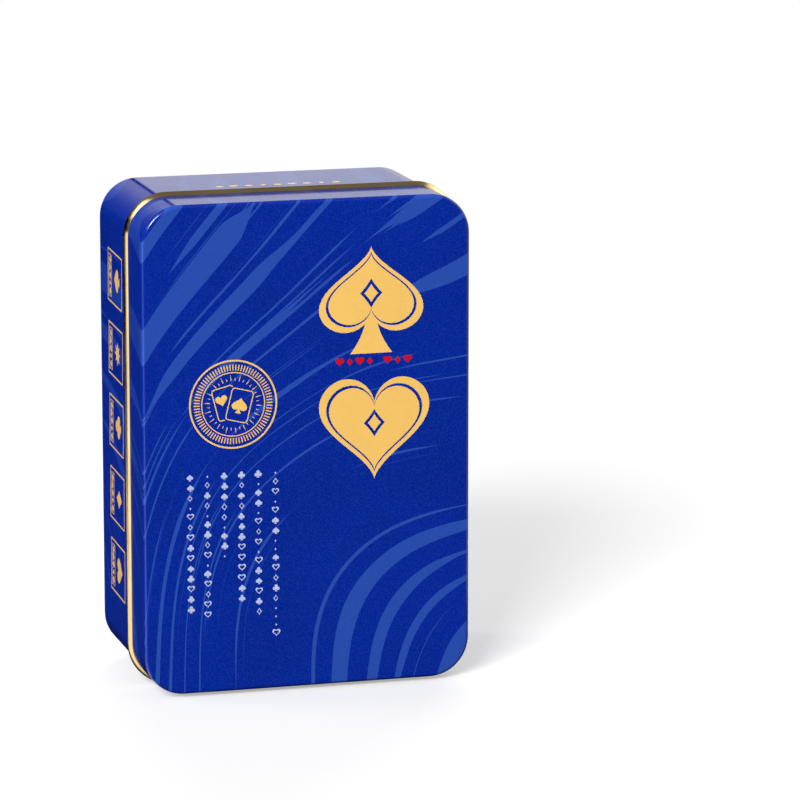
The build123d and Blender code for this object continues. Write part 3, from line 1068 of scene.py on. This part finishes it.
def swell(widest, end, first, last):
    """Arc of a pawn's profile that is upright at its widest point, between shares of the way to its end."""
    (wide, level), (radius, height) = widest, end
    rise = height - level
    bow = ((wide - radius) ** 2 + rise ** 2) / (2 * (wide - radius))
    reach = math.degrees(math.asin(abs(rise) / bow)) * (1 if rise > 0 else -1)
    return arc((wide - bow, level), bow, reach * first, reach * last, 10)


def pawn_profile():
    """Radius and height along a pawn, from the magnet's pocket to the top of the head."""
    foot, base, dip, collar, waist = (4.9, 0.0), (5.5, 2.0), (4.5, 4.3), (4.7, 6.4), (2.6, 10.0)
    head_radius, height = 3.4, 17.0
    path = [(3.05, 2.2), (3.05, 0.15), (3.15, 0.0), foot]
    path += swell(base, foot, 1, 0)[1:] + swell(base, dip, 0, 1)[1:]
    path += swell(collar, dip, 1, 0)[1:] + swell(collar, waist, 0, 1)[1:]
    start = -math.degrees(math.acos(waist[0] / head_radius))
    return path + arc((0.0, height - head_radius), head_radius, start, 90, 28)


def make_pawn(colour, material):
    """Pawn lathed about its node's axis, with a closed pocket for the magnet."""
    low, high = node_box(f"{colour}_pawn_body")
    axis_x, axis_z = (low.x + high.x) / 2, (low.z + high.z) / 2
    profile = pawn_profile()
    pocket_height, top = profile[0][1], profile[-1][1]
    count, steps = len(profile) - 1, 96
    points = [(axis_x, low.y + pocket_height, axis_z)]
    for step in range(steps):
        angle = 2 * math.pi * step / steps
        for radius, height in profile[:-1]:
            across, along = radius * math.cos(angle), radius * math.sin(angle)
            points.append((axis_x + across, low.y + height, axis_z + along))
    points.append((axis_x, low.y + top, axis_z))
    faces = []
    for step in range(steps):
        here, there = 1 + step * count, 1 + (step + 1) % steps * count
        faces.append((0, here, there))
        faces += [(here + index, here + index + 1, there + index + 1, there + index)
                  for index in range(count - 1)]
        faces.append((here + count - 1, len(points) - 1, there + count - 1))
    piece = make_mesh(f"{colour}_pawn", points, faces, [material], sharp=50.0)
    return settle(piece, f"{colour}_pawn", f"{colour}_plastic", f"{colour}_pawn_body")


make_pawn("red", red_plastic)
make_pawn("blue", blue_plastic)
refinish(nickel, "red_pawn_magnet", "blue_pawn_magnet")


# --- contents ---

def make_deck(node):
    """Deck of cards, each a little out of line with the next."""
    low, high = node_box(node)
    width, length = high.x - low.x - 2 * card_slack, high.z - low.z - 2 * card_slack
    middle_x, centre_z = (low.x + high.x) / 2, (low.z + high.z) / 2
    pitch = (high.y - low.y - card_thickness) / (cards_per_deck - 1)
    outline = rounded_frame(width, length, card_corner, 6)
    size = len(outline)
    back = card_back(f"{node}_back", centre_z, width / 2, length / 2)
    points, faces, slots = [], [], []
    for card in range(cards_per_deck):
        shift_x, shift_z = random.uniform(-card_slack, card_slack), random.uniform(-card_slack, card_slack)
        start = len(points)
        for side in (0, card_thickness):
            points += [(middle_x + x + shift_x, low.y + card * pitch + side, centre_z + z + shift_z)
                       for x, z in outline]
        faces += [list(range(start, start + size)), list(range(start + size, start + 2 * size))[::-1]]
        faces += [[start + corner for corner in (b, a, d, c)] for a, b, c, d in tube_faces(size)]
        slots += [0, 0] + [1] * size
    piece = make_mesh(f"{node}_cards", points, faces, [back, edge_stock], slots)
    return settle(piece, "tin", "card_stock", node)


def leaflet_path(low, high):
    """Middle line of the paper as it goes to and fro, from the front layer to the rear one."""
    pitch = paper_thickness + paper_air
    radius = (2 * paper_thickness + paper_air) / 2
    turn = arc((0, 0), pitch / 2, -90, 90, 6)[1:-1]
    path = []
    for layer in range(leaflet_layers):
        side = -1 if layer % 2 else 1
        depth = low.y + paper_thickness / 2 + layer * pitch
        ends = [(low.x + radius, depth), (high.x - radius, depth)][::side]
        path += ends
        if layer < leaflet_layers - 1:
            path += [(ends[1][0] + side * x, depth + pitch / 2 + y) for x, y in turn]
    return path


def make_leaflet():
    """Folded leaflet in front of the cards."""
    low, high = node_box("rules_leaflet")
    section = stroke(leaflet_path(low, high), paper_thickness)
    left = [quad[0] for quad in section] + [section[-1][1]]
    right = [quad[3] for quad in section] + [section[-1][2]]
    loop = left + right[::-1]
    count = len(loop)
    points = [(x, y, z) for z in (low.z, high.z) for x, y in loop]
    faces = tube_faces(count)
    for level in (0, count):
        for index in range(len(left) - 1):
            quad = [index, index + 1, count - 2 - index, count - 1 - index]
            faces.append([level + corner for corner in (quad if level == 0 else quad[::-1])])
    piece = make_mesh("leaflet", points, faces, [paper])
    return settle(piece, "tin", "leaflet_paper", "rules_leaflet")


def print_leaflet():
    """Print on the leaflet's front: a border, a row of suits and lines of text in threes, as plain bars."""
    low, high = node_box("rules_leaflet")
    margin, bar_count, bar_pitch, bar_height, bar_top, indent = 4.5, 9, 4.2, 0.5, 9.0, 6
    plane = ("tin", (0, low.y, (low.z + high.z) / 2), (1, 0, 0), (0, 0, 1), (0, -1, 0))
    width, length = high.x - low.x - 2 * margin, high.z - low.z - 2 * margin
    print_frame("leaflet_border", plane, (width, length), (0.35, 0.35), (2.0, 1.7), ink="blue")
    marks = suit_row(4, 8.6, 6.4, 20.0)
    for line in range(bar_count):
        end = width / 2 - (14 if line % 3 == 2 else indent)
        level = bar_top - bar_pitch * line
        marks.append(rectangle(indent - width / 2, end, level, level + bar_height))
    print_shape("leaflet_marks", plane, marks, ink="blue")


make_deck("deck_rear")
make_deck("deck_front")
make_leaflet()
print_leaflet()


# --- floor, light and camera ---

def bright_floor(nodes, x, y):
    """Share of bright studio floor on this side of the tin, as reflections see it."""
    azimuth = nodes.math("DEGREES", nodes.math("ARCTAN2", x, y * -1.0))
    return largest([azimuth.window(*edges) * share for share, edges in floor_stretches])


def make_floor():
    """Pale floor that fades into the background; reflections see it dark but for its bright stretches."""
    size = 600.0
    corners = [(-size, -size, 0), (size, -size, 0), (size, size, 0), (-size, size, 0)]
    floor = make_mesh("floor", corners, [(0, 1, 2, 3)], [])
    nodes, place = new_material("floor_paint")
    seen = nodes.add("LightPath", output="Is Camera Ray")
    glossy = nodes.add("LightPath", output="Is Glossy Ray")
    x, y, _ = nodes.parts(place)
    reach = nodes.vector("LENGTH", place, output="Value")
    bright = bright_floor(nodes, x, y)
    far = bright * reach.between(85.0, 115.0)                               # away from the tin
    beside = bright * x.between(-38.0, -35.0, 1.0, 0.0)                     # left of its side
    under = y.between(-28.0, -25.0) * x.between(-22.0, -18.0, 1.0, 0.0)     # below its left part
    near = beside.most(under) * y.between(-17.0, -15.0, 1.0, 0.0)
    glow = far.most(near) * glossy * floor_glow
    nodes.set(Base_Color=nodes.mix(seen, (0.004, 0.004, 0.004, 1), (0.60, 0.60, 0.60, 1)), Roughness=0.9,
              Specular_IOR_Level=0.0, Alpha=reach.between(170.0, 420.0, 1.0, 0.0),
              Emission_Color=(1, 1, 1, 1), Emission_Strength=seen * floor_lift + glow)
    floor.data.materials.append(nodes.owner)


def make_world():
    """White background for the camera; in reflections panels, a dim upper sky and a bright floor."""
    world = bpy.data.worlds.new("studio")
    bpy.context.scene.world = world
    nodes = Nodes(world, "Background", "OutputWorld")
    x, y, z = nodes.parts(nodes.add("TexCoord", output="Generated"))
    azimuth = nodes.math("DEGREES", nodes.math("ARCTAN2", x, y))
    height = nodes.math("DEGREES", nodes.math("ARCSINE", z))
    seen = [azimuth.window(*sides) * height.window(*levels) * level for level, sides, levels in panels]
    seen.append(height.between(20.0, 60.0, 0.0, upper_sky))
    seen.append(bright_floor(nodes, x, y) * height.between(-1.0, 1.0, 1.0, 0.0) * floor_glow)
    glossy = nodes.add("LightPath", output="Is Glossy Ray")
    fill = height.between(-10.0, 60.0, *studio_fill)
    level = largest(seen) * glossy + fill * (1.0 - glossy)
    nodes.set(Color=(1, 1, 1, 1), Strength=level.most(nodes.add("LightPath", output="Is Camera Ray")))


def way_back(azimuth, elevation):
    """Way from the tin to a place; azimuth 0 is in front of the lid face, positive to the right."""
    a, e = math.radians(azimuth), math.radians(elevation)
    return Vector((math.sin(a) * math.cos(e), -math.cos(a) * math.cos(e), math.sin(e)))


def aim(holder, middle, back, distance):
    """Put a lamp or camera at a distance from a spot and turn it towards the tin."""
    bpy.context.scene.collection.objects.link(holder)
    holder.location = (middle + back * distance) * MM
    holder.rotation_euler = (-back).to_track_quat("-Z", "Y").to_euler()


def make_lamp(name, azimuth, elevation, distance, side, watts, mirrored):
    """Square area lamp aimed at the tin."""
    lamp = bpy.data.lights.new(name, "AREA")
    lamp.shape = "RECTANGLE"
    lamp.size = lamp.size_y = side * MM
    lamp.energy = watts
    holder = bpy.data.objects.new(name, lamp)
    holder.visible_glossy = mirrored
    middle = Vector((0, front_y + tin_depth / 2, middle_z))
    aim(holder, middle, way_back(azimuth, elevation), distance)


def make_camera():
    """Camera at the photograph's place, solved from the tin's outline."""
    data = bpy.data.cameras.new("camera")
    data.sensor_width = sensor_width
    data.lens = focal_pixels * sensor_width / frame_pixels
    data.clip_end = 100.0
    camera = bpy.data.objects.new("camera", data)
    back = way_back(camera_azimuth, camera_elevation)
    right = way_back(camera_azimuth + 90, 0)
    middle = Vector((0, front_y + tin_depth / 2 + camera_aim, middle_z))
    middle += right * camera_right + back.cross(right) * camera_up
    aim(camera, middle, back, camera_distance)
    bpy.context.scene.camera = camera


make_floor()
make_world()
for lamp_values in lamps:
    make_lamp(*lamp_values)
make_camera()
bpy.context.scene.view_settings.view_transform = "Standard"
